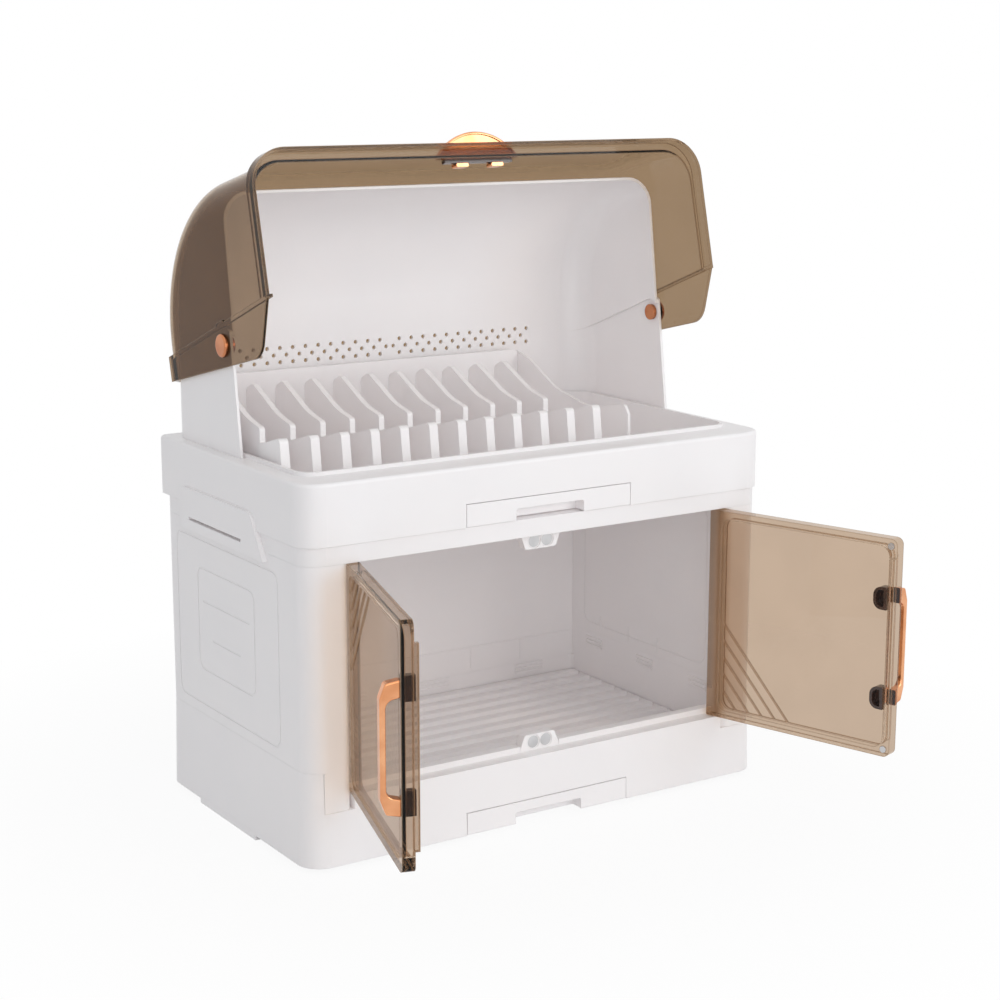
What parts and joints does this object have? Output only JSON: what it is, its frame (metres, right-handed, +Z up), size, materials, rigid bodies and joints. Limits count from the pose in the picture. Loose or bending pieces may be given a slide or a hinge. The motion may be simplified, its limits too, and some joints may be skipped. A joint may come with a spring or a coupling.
{
  "type": "two-tier dish rack",
  "caption": "Two-tier dish rack: a drain cabinet with tinted double doors under a plate tray with a hood, a swing-up tinted lid and slide-out drip drawers.",
  "frame": {"origin": "on the ground, under the middle of the cabinet", "axes": "+X to the right as seen from the front, +Y from the doors to the back, +Z up"},
  "size_m": [0.498, 0.4418, 0.5648],
  "materials": {
    "white_plastic": "satin",
    "tinted_plastic": "clear, gloss",
    "socket_plastic": "gloss",
    "plated_handle": "rose gold plated, polished",
    "steel_plate": "brushed",
    "foot_rubber": "matte"
  },
  "bodies": {
    "cabinet": {"base_frame": "white_plastic", "rubber_feet": "foot_rubber", "left_wall_panel": "white_plastic", "right_wall_panel": "white_plastic", "back_wall_panel": "white_plastic", "top_frame": "white_plastic", "upper_tray": "white_plastic", "hood": "white_plastic", "plate_rack": "white_plastic", "drain_grille": "white_plastic", "upper_catch_body": "white_plastic", "upper_catch_magnets": "steel_plate", "lower_catch_body": "white_plastic", "lower_catch_magnets": "steel_plate", "left_lift_grip": "white_plastic", "right_lift_grip": "white_plastic", "lower_drawer_runners": "white_plastic", "upper_drawer_runners": "white_plastic"},
    "lid": {"lid_shell": "tinted_plastic", "lid_handle": "plated_handle", "lid_handle_bracket": "socket_plastic", "lid_handle_clips": "plated_handle", "left_lid_pivot": "plated_handle", "right_lid_pivot": "plated_handle"},
    "left_door": {"left_door": "tinted_plastic", "left_door_handle": "plated_handle", "left_handle_sockets": "socket_plastic", "left_door_strikes": "steel_plate"},
    "right_door": {"right_door": "tinted_plastic", "right_door_handle": "plated_handle", "right_handle_sockets": "socket_plastic", "right_door_strikes": "steel_plate"},
    "upper_drawer": {"upper_drawer": "white_plastic"},
    "lower_drawer": {"lower_drawer": "white_plastic"}
  },
  "joints": [
    {"name": "lid_hinge", "type": "hinge", "parent": "cabinet", "child": "lid", "pos_m": [0, 0.015, 0.3992], "axis": [1, 0, 0], "range_deg": [0, 103.5]},
    {"name": "left_door_hinge", "type": "hinge", "parent": "cabinet", "child": "left_door", "pos_m": [-0.179, -0.124, 0.1528], "axis": [0, 0, 1], "range_deg": [0, 107]},
    {"name": "right_door_hinge", "type": "hinge", "parent": "cabinet", "child": "right_door", "pos_m": [0.179, -0.124, 0.1528], "axis": [0, 0, -1], "range_deg": [0, 107]},
    {"name": "upper_drawer_slide", "type": "slide", "parent": "cabinet", "child": "upper_drawer", "axis": [0, -1, 0], "range_m": [0, 0.13]},
    {"name": "lower_drawer_slide", "type": "slide", "parent": "cabinet", "child": "lower_drawer", "axis": [0, -1, 0], "range_m": [0, 0.13]}
  ]
}
